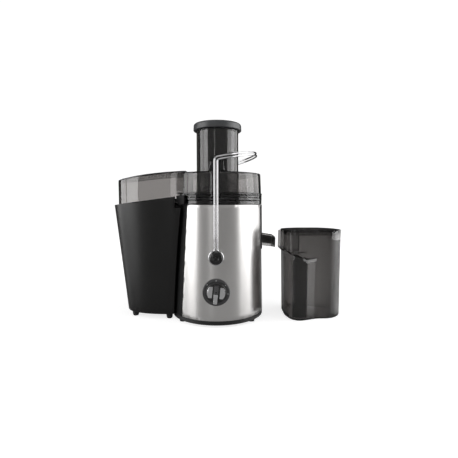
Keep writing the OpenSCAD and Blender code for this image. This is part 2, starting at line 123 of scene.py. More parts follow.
def skin(rings, closed=True, loop=False, caps=True):
    """Points and faces of a surface through rings that have the same number of points each."""
    n = len(rings[0])
    points = [p for ring in rings for p in ring]
    faces = []
    rows = len(rings) if loop else len(rings) - 1
    for j in range(rows):
        a, b = j * n, (j + 1) % len(rings) * n
        for i in range(n if closed else n - 1):
            k = (i + 1) % n
            faces.append((a + i, a + k, b + k, b + i))
    if caps and not loop:
        faces += [tuple(range(n)), tuple(range(len(points) - n, len(points)))]
    return points, faces


def lathe(name, profile, segments=128, axis="Z", at=(0, 0, 0), closed=True, sharp=35, facing=-1):
    """A turned piece: profile holds (radius, height) points, closed into a loop unless told otherwise.
    Heights run along +Z, or along Y, to the front or the rear, as facing says."""
    rings = []
    for r, h in profile:
        ring = []
        for i in range(segments):
            a = 2 * math.pi * i / segments
            if axis == "Z":
                ring.append((at[0] + r * math.cos(a), at[1] + r * math.sin(a), at[2] + h))
            else:
                ring.append((at[0] + r * math.cos(a), at[1] + facing * h, at[2] + r * math.sin(a)))
        rings.append(ring)
    points, faces = skin(rings, loop=closed, caps=False)
    return new_object(name, points, faces, sharp)


def prism(name, outline, low, high, plane="XZ", round_off=0.0, sharp=35):
    """An outline extruded along the axis across its plane, with its rims rounded off."""
    steps = 4 if round_off else 0
    levels = [(low, round_off)] if not steps else []
    for k in range(steps + 1):
        a = math.pi / 2 * k / max(steps, 1)
        levels.append((low + round_off * (1 - math.sin(a)), round_off * (1 - math.cos(a))))
    levels = sorted(set((round(h, 5), round(i, 5)) for h, i in levels))
    levels += [(high + low - h, i) for h, i in reversed(levels)]
    rings = []
    for h, inset in levels:
        ring = inset_outline(outline, inset)
        if plane == "XZ":
            rings.append([(x, h, z) for x, z in ring])
        elif plane == "XY":
            rings.append([(x, y, h) for x, y in ring])
        else:
            rings.append([(h, y, z) for y, z in ring])
    points, faces = skin(rings)
    return new_object(name, points, faces, sharp)


def inset_outline(outline, distance):
    """The outline moved inwards by a small distance, point by point."""
    if not distance:
        return list(outline)
    n = len(outline)
    area = sum(outline[i - 1][0] * outline[i][1] - outline[i][0] * outline[i - 1][1] for i in range(n))
    side = 1 if area > 0 else -1
    out = []
    for i in range(n):
        a, p, b = (Vector(outline[(i + k) % n]) for k in (-1, 0, 1))
        n1 = Vector((a.y - p.y, p.x - a.x))
        n2 = Vector((p.y - b.y, b.x - p.x))
        n1 = n1.normalized() if n1.length > 1e-9 else n2.normalized()
        n2 = n2.normalized() if n2.length > 1e-9 else n1
        mitre = (n1 + n2).normalized()
        reach = min(1 / max(mitre.dot(n1), 0.3), 2.5)
        q = p + mitre * distance * side * reach
        out.append((q.x, q.y))
    return out


def sweep(name, path, radius, sides=14, closed=True):
    """A round wire along a path of points, which is closed or has two flat ends."""
    path = [Vector(p) for p in path]
    n = len(path)
    after = [(i + 1) % n if closed else min(i + 1, n - 1) for i in range(n)]
    before = [i - 1 if closed else max(i - 1, 0) for i in range(n)]
    tangents = [(path[a] - path[b]).normalized() for a, b in zip(after, before)]
    across = [tangents[0].orthogonal().normalized()]
    for i in range(1, n + 1):
        turned = tangents[i - 1].rotation_difference(tangents[i % n]) @ across[-1]
        across.append((turned - tangents[i % n] * turned.dot(tangents[i % n])).normalized())
    last = across.pop()
    twist = math.atan2(last.cross(across[0]).dot(tangents[0]), last.dot(across[0])) if closed else 0
    rings = []
    for i in range(n):
        up = tangents[i].cross(across[i])
        turns = [2 * math.pi * k / sides + twist * i / n for k in range(sides)]
        rings.append([path[i] + (across[i] * math.cos(a) + up * math.sin(a)) * radius for a in turns])
    points, faces = skin(rings, loop=closed)
    return new_object(name, points, faces, 60)


def apply_modifiers(obj):
    graph = bpy.context.evaluated_depsgraph_get()
    mesh = bpy.data.meshes.new_from_object(obj.evaluated_get(graph))
    obj.modifiers.clear()
    obj.data = mesh
    mesh.shade_smooth()
    return mesh


def combine(base, others, operation, sharp=35):
    """Joins others to base, or cuts them out of it, and removes them."""
    for other in others:
        m = base.modifiers.new("combine", "BOOLEAN")
        m.operation = operation
        m.solver = "EXACT"
        m.object = other
        bpy.context.view_layer.update()
        apply_modifiers(base)
        bpy.data.objects.remove(other)
    base.data.set_sharp_from_angle(angle=math.radians(sharp))


def thicken(obj, thickness):
    """Gives a sheet a wall that grows inwards."""
    m = obj.modifiers.new("wall", "SOLIDIFY")
    m.thickness = thickness * MM
    m.offset = -1
    m.use_even_offset = True


def soften(obj, width, segments=2, angle=40):
    """Rounds an object's edges."""
    m = obj.modifiers.new("edges", "BEVEL")
    m.width = width * MM
    m.segments = segments
    m.limit_method = "ANGLE"
    m.angle_limit = math.radians(angle)
    m.harden_normals = True


def dress(obj, material, body, replaces=()):
    """Gives a piece its material and body, and hides the CAD nodes that it stands for."""
    obj.data.materials.clear()
    obj.data.materials.append(MATERIALS[material])
    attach(obj, body)
    if replaces:
        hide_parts(*replaces)


# ------------------------------------------------------------------ camera, light and floor

def add_camera():
    """Stands in front of the set, a little above the lid, and looks slightly down."""
    data = bpy.data.cameras.new("camera")
    data.lens = 27.5
    data.sensor_width = 36
    data.clip_start, data.clip_end = 0.01, 50
    camera = bpy.data.objects.new("camera", data)
    camera.location = place((22.7, -700, 226))
    camera.rotation_euler = (math.radians(90 - 4.5), 0, 0)
    bpy.context.scene.collection.objects.link(camera)
    bpy.context.scene.camera = camera


def add_softbox(name, azimuth, distance, height, width, tall, radiance, tilt=0):
    """A rectangular area light that faces the set. Azimuth 0 is behind the camera, 90 on the right."""
    data = bpy.data.lights.new(name, "AREA")
    data.shape = "RECTANGLE"
    data.size, data.size_y = width, tall
    data.energy = radiance * math.pi * width * tall
    light = bpy.data.objects.new(name, data)
    a = math.radians(azimuth)
    light.location = place((0, 0, 0)) + Vector((distance * math.sin(a), -distance * math.cos(a), height))
    light.rotation_euler = (math.radians(90 - tilt), 0, a)
    bpy.context.scene.collection.objects.link(light)


def backdrop(nodes, links, stops):
    """Surroundings that change from the front (0) to the back (1)."""
    where, split = nodes.new("ShaderNodeTexCoord"), nodes.new("ShaderNodeSeparateXYZ")
    shift, ramp = nodes.new("ShaderNodeMath"), nodes.new("ShaderNodeValToRGB")
    shift.operation = "MULTIPLY_ADD"
    shift.inputs[1].default_value = 0.5
    shift.inputs[2].default_value = 0.5
    elements = ramp.color_ramp.elements
    elements[0].position, elements[1].position = stops[0][0], stops[-1][0]
    for position, _ in stops[1:-1]:
        elements.new(position)
    for element, (_, tone) in zip(elements, stops):
        element.color = (tone, tone * 0.99, tone * 0.98, 1)
    shader = nodes.new("ShaderNodeBackground")
    links.new(where.outputs["Generated"], split.inputs[0])
    links.new(split.outputs["Y"], shift.inputs[0])
    links.new(shift.outputs[0], ramp.inputs[0])
    links.new(ramp.outputs[0], shader.inputs["Color"])
    return shader


def add_world():
    """A white backdrop, seen straight or through clear pieces, in a dim room that polished faces reflect."""
    world = bpy.data.worlds.new("studio")
    bpy.context.scene.world = world
    world.use_nodes = True
    nodes, links = world.node_tree.nodes, world.node_tree.links
    nodes.clear()
    out, seen = nodes.new("ShaderNodeOutputWorld"), nodes.new("ShaderNodeBackground")
    seen.inputs["Strength"].default_value = 1.05
    seen.inputs["Color"].default_value = (1, 1, 1, 1)
    through = backdrop(nodes, links, [(0.30, 0.33), (0.45, 0.12), (0.94, 0.12), (0.963, 1.0)])
    room = backdrop(nodes, links, [(0.30, 0.33), (0.45, 0.13), (0.85, 0.05), (0.97, 0.03)])
    ray = nodes.new("ShaderNodeLightPath")
    clear, direct = nodes.new("ShaderNodeMixShader"), nodes.new("ShaderNodeMixShader")
    links.new(ray.outputs["Is Transmission Ray"], clear.inputs[0])
    links.new(room.outputs[0], clear.inputs[1])
    links.new(through.outputs[0], clear.inputs[2])
    links.new(ray.outputs["Is Camera Ray"], direct.inputs[0])
    links.new(clear.outputs[0], direct.inputs[1])
    links.new(seen.outputs[0], direct.inputs[2])
    links.new(direct.outputs[0], out.inputs["Surface"])


def add_floor():
    """A pale floor that fades to the backdrop's white away from the set, as the camera sees it."""
    mesh = bpy.data.meshes.new("floor")
    half = 12
    corners = [(-half, -half, 0), (half, -half, 0), (half, half, 0), (-half, half, 0)]
    mesh.from_pydata(corners, [], [(0, 1, 2, 3)])
    floor = bpy.data.objects.new("floor", mesh)
    bpy.context.scene.collection.objects.link(floor)
    material = bpy.data.materials.new("floor")
    material.use_nodes = True
    shader = material.node_tree.nodes["Principled BSDF"]
    shader.inputs["Base Color"].default_value = (0.45, 0.45, 0.45, 1)
    shader.inputs["Roughness"].default_value = 0.9
    shader.inputs["Specular IOR Level"].default_value = 0.1
    shader.inputs["Emission Color"].default_value = (1, 1, 1, 1)
    nodes, links = material.node_tree.nodes, material.node_tree.links
    where, reach, fade = (nodes.new(f"ShaderNode{kind}") for kind in ("TexCoord", "VectorMath", "MapRange"))
    ray, glow = nodes.new("ShaderNodeLightPath"), nodes.new("ShaderNodeMath")
    reach.operation, glow.operation = "LENGTH", "MULTIPLY"
    fade.inputs["From Min"].default_value = 0.25
    fade.inputs["From Max"].default_value = 0.65
    fade.inputs["To Min"].default_value = 0.78
    fade.inputs["To Max"].default_value = 1.02
    links.new(where.outputs["Object"], reach.inputs[0])
    links.new(reach.outputs["Value"], fade.inputs["Value"])
    links.new(fade.outputs[0], glow.inputs[0])
    links.new(ray.outputs["Is Camera Ray"], glow.inputs[1])
    links.new(glow.outputs[0], shader.inputs["Emission Strength"])
    # Reflections pass partly through the floor, so that low faces show the softboxes to their feet
    clear, mix = nodes.new("ShaderNodeBsdfTransparent"), nodes.new("ShaderNodeMixShader")
    share = nodes.new("ShaderNodeMath")
    share.operation = "MULTIPLY"
    share.inputs[1].default_value = 0.35
    links.new(ray.outputs["Is Glossy Ray"], share.inputs[0])
    links.new(share.outputs[0], mix.inputs[0])
    links.new(shader.outputs[0], mix.inputs[1])
    links.new(clear.outputs[0], mix.inputs[2])
    links.new(mix.outputs[0], nodes["Material Output"].inputs["Surface"])
    mesh.materials.append(material)


add_camera()
add_world()
add_floor()
# Name, azimuth, width, height and radiance of the lights that stand round the set
for light in (("left_softbox", -65, 0.74, 1.9, 3.4), ("left_fill", -93, 0.72, 1.9, 2.6),
              ("right_softbox", 70, 0.72, 1.9, 2.5), ("right_fill", 94, 0.72, 1.9, 4.0),
              ("right_rear", 121, 0.80, 1.9, 1.8), ("front_strip", -14, 0.12, 1.5, 1.6)):
    add_softbox(light[0], light[1], 1.6, 0.45, *light[2:])
add_softbox("top_softbox", 0, 0.5, 1.7, 1.2, 1.2, 0.9, tilt=75)
bpy.context.scene.view_settings.view_transform = "Standard"


# ------------------------------------------------------------------ materials

class Paint:
    """A procedural material: one shader, with helpers that wire detail into it."""

    def __init__(self, name, color, roughness, metallic=0.0, **sockets):
        self.material = bpy.data.materials.new(name)
        self.material.use_nodes = True
        self.nodes = self.material.node_tree.nodes
        self.links = self.material.node_tree.links
        self.shader = self.nodes["Principled BSDF"]
        self.color = color
        self.set("Base Color", (*color, 1))
        self.set("Roughness", roughness)
        self.set("Metallic", metallic)
        self.roughness = roughness
        for socket, value in sockets.items():
            self.set(socket.replace("_", " "), value)
        self.height = None

    def set(self, socket, value):
        self.shader.inputs[socket].default_value = value

    def add(self, kind, **inputs):
        """Adds a node and sets its inputs; an underscore stands for a space in an input's name."""
        node = self.nodes.new("ShaderNode" + kind)
        for name, value in inputs.items():
            node.inputs[name.replace("_", " ")].default_value = value
        return node

    def coordinates(self, scale=(1, 1, 1)):
        where, mapping = self.add("TexCoord"), self.add("Mapping", Scale=scale)
        self.links.new(where.outputs["Object"], mapping.inputs["Vector"])
        return mapping.outputs["Vector"]

    def around_spindle(self, turns, per_metre):
        """Coordinates that run round the spindle and up it, for brushed and turned faces."""
        where, shift = self.add("TexCoord"), self.add("Mapping", Location=(-spindle.x, -spindle.y, 0))
        split, join = self.add("SeparateXYZ"), self.add("CombineXYZ")
        angle = self.math("ARCTAN2", None, None)
        self.links.new(where.outputs["Object"], shift.inputs["Vector"])
        self.links.new(shift.outputs["Vector"], split.inputs[0])
        self.links.new(split.outputs["X"], angle.inputs[0])
        self.links.new(split.outputs["Y"], angle.inputs[1])
        self.links.new(self.math("MULTIPLY", angle.outputs[0], turns).outputs[0], join.inputs[0])
        self.links.new(self.math("MULTIPLY", split.outputs["Z"], per_metre).outputs[0], join.inputs[1])
        return join.outputs[0]

    def math(self, operation, a, b):
        node = self.add("Math")
        node.operation = operation
        for socket, value in zip(node.inputs, (a, b)):
            if isinstance(value, (int, float)):
                socket.default_value = value
            elif value is not None:
                self.links.new(value, socket)
        return node

    def noise(self, vector, scale, detail=3, roughness=0.55):
        node = self.add("TexNoise", Scale=scale, Detail=detail, Roughness=roughness)
        self.links.new(vector, node.inputs["Vector"])
        return node.outputs["Fac"]

    def spread(self, value, low, high):
        """Stretches the middle of a noise value to run from low to high."""
        node = self.add("MapRange", From_Min=0.3, From_Max=0.7, To_Min=low, To_Max=high)
        self.links.new(value, node.inputs["Value"])
        return node.outputs["Result"]

    def vary_roughness(self, value, amount):
        self.links.new(self.spread(value, self.roughness - amount, self.roughness + amount),
                       self.shader.inputs["Roughness"])
        return self

    def mix_colors(self, value, first, second):
        mix = self.add("Mix")
        mix.data_type = "RGBA"
        mix.inputs["A"].default_value = (*first, 1)
        mix.inputs["B"].default_value = (*second, 1)
        self.links.new(value, mix.inputs["Factor"])
        self.links.new(mix.outputs["Result"], self.shader.inputs["Base Color"])

    def vary_color(self, value, darker, lighter):
        dark = [c * darker for c in self.color]
        light = [min(c * lighter, 1) for c in self.color]
        self.mix_colors(self.spread(value, 0, 1), dark, light)
        return self

    def bump(self, value, strength, distance=0.0002):
        node = self.add("Bump", Strength=strength, Distance=distance)
        self.links.new(value, node.inputs["Height"])
        if self.height:
            self.links.new(self.height, node.inputs["Normal"])
        self.height = node.outputs["Normal"]
        self.links.new(self.height, self.shader.inputs["Normal"])
        return self


def brushed_steel(name):
    """Sheet steel with fine brushing round the body."""
    paint = Paint(name, (0.66, 0.65, 0.64), 0.31, 1.0, Anisotropic=0.35)
    paint.set("Anisotropic Rotation", 0.25)
    tangent = paint.add("Tangent")
    tangent.direction_type = "RADIAL"
    tangent.axis = "Z"
    paint.links.new(tangent.outputs[0], paint.shader.inputs["Tangent"])
    strokes = paint.noise(paint.around_spindle(4, 2600), 1.0, 4, 0.7)
    broad = paint.noise(paint.around_spindle(1.5, 260), 1.0, 2)
    paint.vary_roughness(strokes, 0.015)
    paint.vary_color(broad, 0.992, 1.005)
    return paint.bump(strokes, 0.008, 0.00002).material


def turned_steel(name, color, roughness):
    paint = Paint(name, color, roughness, 1.0)
    grain = paint.noise(paint.around_spindle(3, 1800), 1.0, 3)
    return paint.vary_roughness(grain, 0.06).vary_color(grain, 0.9, 1.05).bump(grain, 0.08, 0.00005).material


def moulded(name, color, roughness, grain_scale=2600, grain=0.06, cloud=0.05, specular=0.5):
    """Plain moulded plastic: a fine sandblasted grain, with slow changes of gloss."""
    paint = Paint(name, color, roughness, Specular_IOR_Level=specular)
    fine = paint.noise(paint.coordinates(), grain_scale, 2)
    slow = paint.noise(paint.coordinates(), 18, 3)
    return paint.vary_roughness(slow, cloud).vary_color(slow, 0.9, 1.1).bump(fine, grain, 0.00008).material


def smoked(name, density, roughness=0.03):
    """Polished clear plastic with faint flow lines, whose tint deepens with depth, by density per metre."""
    paint = Paint(name, (0.96, 0.955, 0.95), roughness, IOR=1.57, Transmission_Weight=1.0)
    tint = paint.add("VolumeAbsorption", Color=(0.035, 0.01, 0.0, 1), Density=density)
    paint.links.new(tint.outputs[0], paint.nodes["Material Output"].inputs["Volume"])
    slow = paint.noise(paint.coordinates((1, 1, 0.4)), 30, 2)
    return paint.vary_roughness(slow, 0.012).vary_color(slow, 0.98, 1.02).bump(slow, 0.02, 0.0003).material


def cast_metal(name, color, roughness):
    paint = Paint(name, color, roughness, 1.0)
    grain = paint.noise(paint.coordinates(), 900, 4)
    return paint.vary_roughness(grain, 0.08).vary_color(grain, 0.85, 1.08).bump(grain, 0.1, 0.0001).material


def striped(name, dark, light, per_metre, roughness):
    """Layers of sheet or turns of wire, seen edge on."""
    paint = Paint(name, light, roughness, 1.0)
    waves = paint.add("TexWave", Scale=per_metre, Distortion=0.4)
    waves.bands_direction = "Z"
    paint.links.new(paint.coordinates(), waves.inputs["Vector"])
    paint.mix_colors(waves.outputs["Fac"], dark, light)
    return paint.bump(waves.outputs["Fac"], 0.25, 0.0002).material


def chrome(name):
    paint = Paint(name, (0.72, 0.72, 0.73), 0.07, 1.0)
    slow = paint.noise(paint.coordinates(), 60, 3)
    return paint.vary_roughness(slow, 0.02).vary_color(slow, 0.97, 1.0).material


# Each material's maker, and what it is given after the name
FINISHES = {
    "brushed_steel": (brushed_steel,),
    "black_plastic": (moulded, (0.012, 0.012, 0.0125), 0.38),
    "satin_black": (moulded, (0.017, 0.0168, 0.0165), 0.42, 3200, 0.05),
    "gloss_black": (moulded, (0.010, 0.010, 0.010), 0.10, 1200, 0.01, 0.02),
    "dial_grey": (moulded, (0.075, 0.075, 0.077), 0.36),
    "cap_grey": (moulded, (0.055, 0.057, 0.06), 0.34),
    "dark_plastic": (moulded, (0.03, 0.03, 0.031), 0.45),
    "smoke_clear": (smoked, 310),
    "smoke_dark": (smoked, 540),
    "smoke_collar": (smoked, 330, 0.05),
    "smoke_tube": (smoked, 330, 0.07),
    "smoke_jug": (smoked, 430),
    "smoke_guide": (smoked, 900),
    # painted shade: near-black smoke for beads that stand for the dark lines along clear rims and in the
    # collar's grooves
    "smoke_edge": (smoked, 3000),
    "smoke_beak": (smoked, 220),
    "smoke_jug_lid": (smoked, 500),
    # partly real black plastic, made darker and duller than black_plastic as painted shade for the deep shadow
    # beside the bin
    "housing_black": (moulded, (0.004, 0.004, 0.0042), 0.55, 2600, 0.06, 0.05, 0.2),
    "bin_black": (moulded, (0.006, 0.0059, 0.0058), 0.30, 1400, 0.015, 0.02, 0.42),
    "chrome": (chrome,),
    "screw_steel": (turned_steel, (0.55, 0.55, 0.56), 0.3),
    "bracket_metal": (cast_metal, (0.6, 0.6, 0.61), 0.42),
    "laminations": (striped, (0.10, 0.10, 0.11), (0.30, 0.30, 0.31), 320, 0.45),
    "copper": (striped, (0.35, 0.13, 0.05), (0.85, 0.42, 0.2), 260, 0.35),
    "bronze": (cast_metal, (0.6, 0.43, 0.2), 0.35),
    "carbon": (moulded, (0.03, 0.03, 0.03), 0.6),
    "print_white": (moulded, (0.75, 0.75, 0.74), 0.5),
    "board": (moulded, (0.02, 0.12, 0.045), 0.4),
    "sieve_steel": (turned_steel, (0.66, 0.66, 0.66), 0.28),
    "rubber": (moulded, (0.018, 0.018, 0.018), 0.7, 1500, 0.12),
}
MATERIALS = {name: make(name, *values) for name, (make, *values) in FINISHES.items()}
NODE_SLOT = {s["node"]: s["material_slot"] for s in frame["record"]["subparts"]}
for node, obj in frame["nodes"].items():
    for i in range(max(len(obj.material_slots), 1)):
        if not obj.material_slots:
            obj.data.materials.append(MATERIALS[NODE_SLOT[node]])
        obj.material_slots[i].material = MATERIALS[NODE_SLOT[node]]


# ------------------------------------------------------------------ motor body

shell_low, shell_high = span("steel_shell")
SHELL_FOOT_Z, SHELL_TOP_Z = shell_low.z, shell_high.z
SHELL_FOOT_R = shell_high.x
SHELL_TAPER = 3.0
EDGE_LEAN = 12.2 / 205
trim_low, trim_high = span("spout_trim")


def shell_radius(z):
    return SHELL_FOOT_R - SHELL_TAPER * (z - SHELL_FOOT_Z) / (SHELL_TOP_Z - SHELL_FOOT_Z)


def shell_point(turn, z):
    """A point on the shell; turn is in degrees from the front, towards the right."""
    a = math.radians(turn)
    return shell_radius(z) * math.sin(a), -shell_radius(z) * math.cos(a), z


def build_steel_shell():
    """One sheet wrapped round the front, right and back, slotted on the right for the spout."""
    low_rows, high_rows, side_steps, slot_steps = 16, 12, 44, 10
    slot_z = trim_low.z - 0.1
    rows = [SHELL_FOOT_Z + (slot_z - SHELL_FOOT_Z) * i / low_rows for i in range(low_rows)]
    rows += [slot_z + (SHELL_TOP_Z - slot_z) * i / high_rows for i in range(high_rows + 1)]
    points, faces = [], []
    for z in rows:
        edge_x = shell_low.x + EDGE_LEAN * (z - SHELL_FOOT_Z)
        edge = math.degrees(math.asin(edge_x / shell_radius(z)))
        slot_turn = math.degrees(math.asin((trim_high.y + 0.1) / shell_radius(z)))
        stops = [edge, 90 - slot_turn, 90 + slot_turn, 180 - edge]
        counts = [side_steps, slot_steps, side_steps]
        for start, end, count in zip(stops, stops[1:], counts):
            points += [shell_point(start + (end - start) * k / count, z) for k in range(count)]
        points.append(shell_point(stops[-1], z))
    n = 2 * side_steps + slot_steps + 1
    for j in range(len(rows) - 1):
        for i in range(n - 1):
            if j >= low_rows and side_steps <= i < side_steps + slot_steps:
                continue
            faces.append((j * n + i, j * n + i + 1, (j + 1) * n + i + 1, (j + 1) * n + i))
    shell = new_object("steel_wrap", points, faces)
    thicken(shell, 1.0)
    soften(shell, 0.4, 3, 60)
    apply_modifiers(shell).set_sharp_from_angle(angle=math.radians(50))
    dress(shell, "brushed_steel", "juicer", ["steel_shell"])


# ------------------------------------------------------------------ juice collector

PULP_X, PULP_HALF = -64, 60


def build_collector():
    """Bowl with a ribbed collar, opened on the left where the pulp leaves over a lip."""
    top = span("juice_collector")[1].z
    rib_r = 88.0
    profile = [(21.4, 160, 0.6), (21.4, 143, 1.0), (77.5, 143, 5), (79.5, 214, 0), (79.5, top, 0.5)]
    ribs = ((top, 238.2, 0.1), (236.8, 233.6, 0.7), (232.2, 228.4, 0.7), (227.0, 220.4, 0.9))
    for z1, z0, out in ribs:
        profile += [(rib_r - out, z1, 0.7), (rib_r - out, z0, 0.7)]
        if z0 > 221:
            profile += [(rib_r - 2.2, z0 - 0.2, 0.3), (rib_r - 2.2, z0 - 1.2, 0.3)]
    profile += [(81.7, 220.4, 0.5), (79.7, 140.6, 2), (19, 140.6, 0.6), (19, 160, 0.6)]
    bowl = lathe("collector_bowl", rounded(profile, 3), 144)
    gate = prism("gate", [(-110, -PULP_HALF), (PULP_X, -PULP_HALF), (PULP_X, PULP_HALF), (-110, PULP_HALF)],
                 225.5, 260, "XY")
    combine(bowl, [gate], "DIFFERENCE")
    lip = prism("collector_lip", [(-96, -34), (-87, -49), (-72, -50), (-80, -34)]
                + [(-80, 34), (-72, 50), (-87, 49), (-96, 34), (-98, 17), (-98, 0), (-98, -17)],
                222, 224.5, "XY", 0.5)
    dress(lip, "smoke_dark", "juicer")
    dress(bowl, "smoke_collar", "juicer", ["juice_collector"])
    # Painted shade: near-black beads laid in the collar's three grooves, for the shade that falls in them
    for i, z in enumerate((237.5, 232.8, 227.8)):
        groove_shade_line = [(x, y, z) for x, y in arc(0, 0, rib_r - 1.6, -135, 135, 96)]
        dress(sweep(f"collar_groove_painted_shade_{i}", groove_shade_line, 0.8, 8, False), "smoke_edge", "juicer")
    # Short walls that close the gap between the collar and the bin's front and rear edges, in the housing's
    # black with painted shade
    for name, turn in (("front", 224.5), ("rear", 135.5)):
        side = arc(0, 0, 93.2, turn - 7, turn + 7, 12) + arc(0, 0, 88.1, turn - 7, turn + 7, 12)[::-1]
        wall = prism(f"bin_stop_{name}", side, 221, 236.5, "XY", 0.4)
        dress(wall, "housing_black", "juicer")


def spout_side(inset, end):
    """Side view of the spout, falling a little outwards, with a round upper outer corner."""
    return ([(78, 141.1 + inset), (end, 136.4 + inset), (end, 154 - inset)]
            + arc(end - 6, 153.6 - inset, 6, 0, 90, 8) + [(78, 164.1 - inset)])


def build_spout():
    low, high = span("juice_spout")
    wall = 2.2
    spout = prism("spout", spout_side(0, high.x), low.y, high.y, "XZ", 1.0)
    bore = prism("bore", spout_side(wall, high.x + 6), low.y + wall, high.y - wall)
    inside = lathe("inside", [(0, 120), (79.7, 120), (79.7, 180), (0, 180)], 96)
    combine(spout, [bore, inside], "DIFFERENCE")
    dress(spout, "smoke_dark", "juicer", ["juice_spout"])


# ------------------------------------------------------------------ lid, hood and feed tube

LID_FOOT_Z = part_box("lid")[0].z / MM
LID_TOP_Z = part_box("lid")[1].z / MM
TUBE_R = span("feed_tube")[1].x
hood_low, hood_high = span("lid_hood")
HOOD_R = hood_high.y
HOOD_CENTRE_X = -66
HOOD_REACH = HOOD_CENTRE_X - hood_low.x
HOOD_RIGHT_X = hood_high.x
CLEAR_WALL = 2.2
EDGE_R = 1.1        # radius of the painted shade line: a near-black bead along the clear parts' upper edges, for the dark line they show there


def seam_z(x):
    """Height of the seam between the hood and the bin."""
    return 236 + (x + 67) * 17.5 / 136


def hood_top_z(x):
    return 281 + (x + 62) * 15 / 132 + 2.6 * (1 - ((x + 125) / 69) ** 2)


def oval_end(centre, reach, half, steps):
    """The left half of an oval that is a little fuller than an ellipse, from its front to its rear."""
    fullness = 2 / 2.3
    turns = [math.radians(90 - 180 * k / steps) for k in range(steps + 1)]
    return [(centre - reach * max(math.cos(a), 0) ** fullness,
             math.copysign(half * abs(math.sin(a)) ** fullness, -a)) for a in turns]


def build_lid():
    r = 86
    profile = rounded([
        (r, LID_FOOT_Z, 0.5), (r - 1.5, LID_TOP_Z - 0.5, 3.2), (TUBE_R + 2.5, LID_TOP_Z, 0.3),
        (TUBE_R + 0.1, LID_TOP_Z + 1.6, 0.3), (TUBE_R + 0.1, LID_TOP_Z - CLEAR_WALL, 0.3),
        (r - 4.0, LID_TOP_Z - CLEAR_WALL, 2.2), (r - 3.4, LID_FOOT_Z, 0.5)], 6)
    lid = lathe("lid_cover", profile, 160)
    gate = prism("gate", [(-120, -HOOD_R - 0.1), (HOOD_RIGHT_X - 0.1, -HOOD_R - 0.1),
                          (HOOD_RIGHT_X - 0.1, HOOD_R + 0.1), (-120, HOOD_R + 0.1)], 230, 300, "XY")
    combine(lid, [gate], "DIFFERENCE", 32)
    dress(lid, "smoke_clear", "juicer", ["lid"])
    # Painted shade: a near-black bead along the lid's upper edge, for the dark line its rim shows
    edge = [(x, y, LID_TOP_Z - EDGE_R) for x, y in arc(0, 0, r - 1.5 - EDGE_R, -132, 132, 96)]
    dress(sweep("lid_edge", edge, EDGE_R, 10, False), "smoke_edge", "juicer")


def hood_ring(inset, height, right_x):
    """Plan of the hood at one level; height is a function of x."""
    r = HOOD_R - inset
    plan = [(right_x - (right_x - HOOD_CENTRE_X) * i / 4, -r) for i in range(4)]
    plan += oval_end(HOOD_CENTRE_X, HOOD_REACH - inset, r, 72)
    plan += [(right_x - (right_x - HOOD_CENTRE_X) * i / 4, r) for i in range(3, -1, -1)]
    return [(x, y, height(x)) for x, y in plan]


def hood_solid(name, inset, foot, roof, right_x, fillet):
    rings = [hood_ring(inset, lambda x: seam_z(x) + foot, right_x)]
    rings.append(hood_ring(inset, lambda x: (seam_z(x) + hood_top_z(x)) / 2, right_x))
    for k in range(7):
        a = math.pi / 2 * k / 6
        drop, pull = fillet * (1 - math.sin(a)), fillet * (1 - math.cos(a))
        rings.append(hood_ring(inset + pull, lambda x: hood_top_z(x) - roof - drop, right_x))
    points, faces = skin(rings)
    return new_object(name, points, faces, 32)


def build_hood():
    hood = hood_solid("hood", 0, 0.5, 0, HOOD_RIGHT_X, 3.0)
    inside = hood_solid("inside", CLEAR_WALL, -25, CLEAR_WALL, 0, 1.4)
    ring = lathe("ring", [(0, 200), (88.4, 200), (88.4, LID_FOOT_Z), (0, LID_FOOT_Z)], 160)
    frame_piece = hood_solid("frame", CLEAR_WALL + 0.05, -1, CLEAR_WALL + 0.05, HOOD_RIGHT_X, 1.4)
    mouth = hood_solid("mouth", CLEAR_WALL + 2.6, -25, CLEAR_WALL + 2.6, 0, 1.0)
    slab = prism("slab", [(-74, -90), (-59.5, -90), (-59.5, 90), (-74, 90)], 244, 300, "XY")
    combine(frame_piece, [slab], "INTERSECT", 32)
    combine(frame_piece, [mouth], "DIFFERENCE", 32)
    dress(frame_piece, "smoke_clear", "juicer")
    combine(hood, [inside, ring], "DIFFERENCE", 32)
    dress(hood, "smoke_clear", "juicer", ["lid_hood"])
    # Painted shade: a near-black bead along the hood's upper edge and down its two ends, for the dark line its
    # rims show
    edge = hood_ring(EDGE_R, lambda x: hood_top_z(x) - EDGE_R, HOOD_RIGHT_X - EDGE_R)
    foot_z = LID_FOOT_Z + 1
    edge = [(*edge[0][:2], foot_z)] + edge + [(*edge[-1][:2], foot_z)]
    dress(sweep("hood_edge_painted_shade", edge, EDGE_R, 10, False), "smoke_edge", "juicer")


def build_feed_tube():
    low, high = span("feed_tube")
    r = TUBE_R
    tube = lathe("tube", rounded([
        (r, low.z, 0.5), (r, high.z - 2.4, 0.4), (r + 0.9, high.z - 2.0, 0.4), (r + 0.9, high.z, 0.7),
        (r - CLEAR_WALL, high.z, 0.7), (r - CLEAR_WALL, low.z, 0.5)], 4), 144)
    dress(tube, "smoke_tube", "juicer", ["feed_tube"])


def build_catches():
    low, high = span("lid_catches")
    foot, thick = LID_TOP_Z - 0.4, 9
    side = rounded([(-14, foot, 0), (15, foot, 0), (13, high.z - 1.4, 1.6), (10, high.z, 2), (-9, high.z, 2),
                    (-12, high.z - 1.4, 1.6)], 4)
    for name, y, nodes in (("catch_front", low.y, ["lid_catches"]), ("catch_rear", high.y - thick, [])):
        dress(prism(name, side, y, y + thick, "XZ", 1.2), "smoke_clear", "juicer", nodes)


